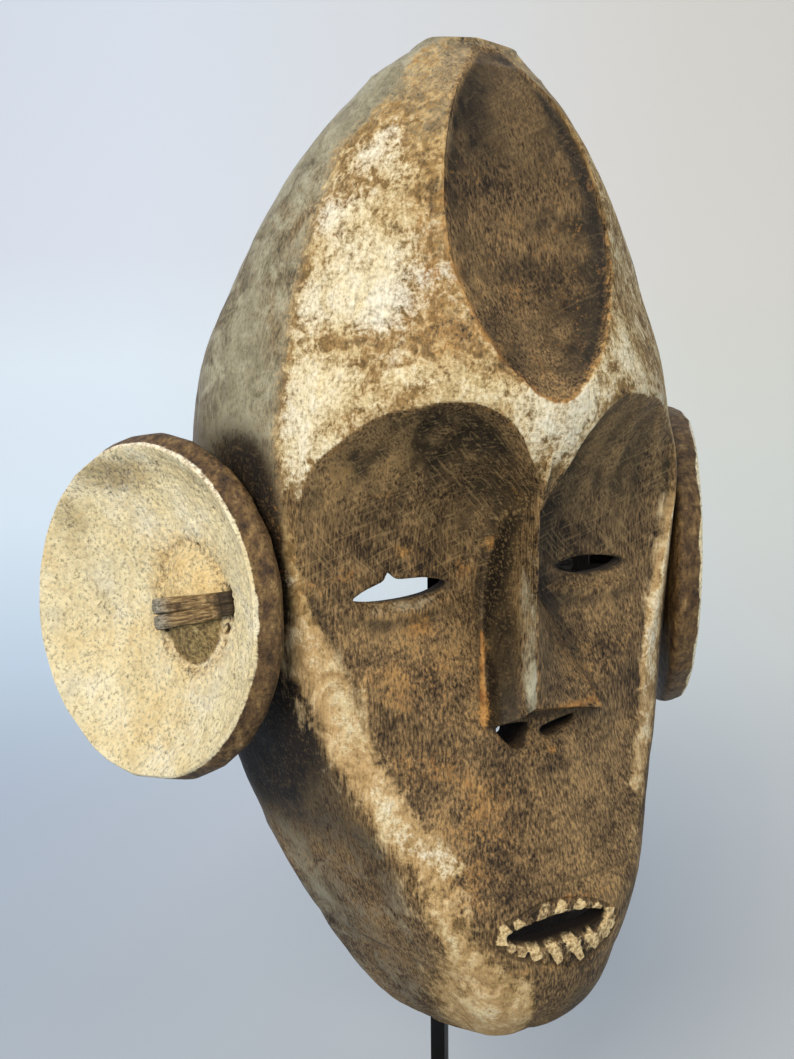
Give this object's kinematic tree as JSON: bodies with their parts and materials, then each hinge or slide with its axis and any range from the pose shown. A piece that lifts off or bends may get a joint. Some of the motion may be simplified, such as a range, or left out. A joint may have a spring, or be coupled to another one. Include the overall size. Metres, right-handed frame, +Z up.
{
  "type": "boa mask",
  "caption": "Carved wooden face mask with a leaf recess on the brow, slit eyes, toothed mouth and two dish ears tied on, held up by a square bar on a foot plate.",
  "frame": {"origin": "middle of the foot plate's underside, level with the surface it stands on", "axes": "+Z up, the face looks along -Y, +X to the viewer's right, which is the mask's own left"},
  "size_m": [0.3031, 0.1628, 0.494],
  "materials": {
    "carved_wood": "hand-carved hardwood, dark brown patina with worn kaolin bands, matt",
    "kaolin_wood": "hardwood dish whitened with kaolin, chalky and pitted, worn brown rim",
    "split_cane": "weathered split cane, grey-brown, satin",
    "black_steel": "gloss black paint on square steel"
  },
  "bodies": {
    "root": {"mask": "carved_wood", "ear_right": "kaolin_wood", "ear_left": "kaolin_wood", "tie_right": "split_cane", "tie_left": "split_cane", "stand_bar": "black_steel", "stand_base": "black_steel"}
  },
  "joints": []
}
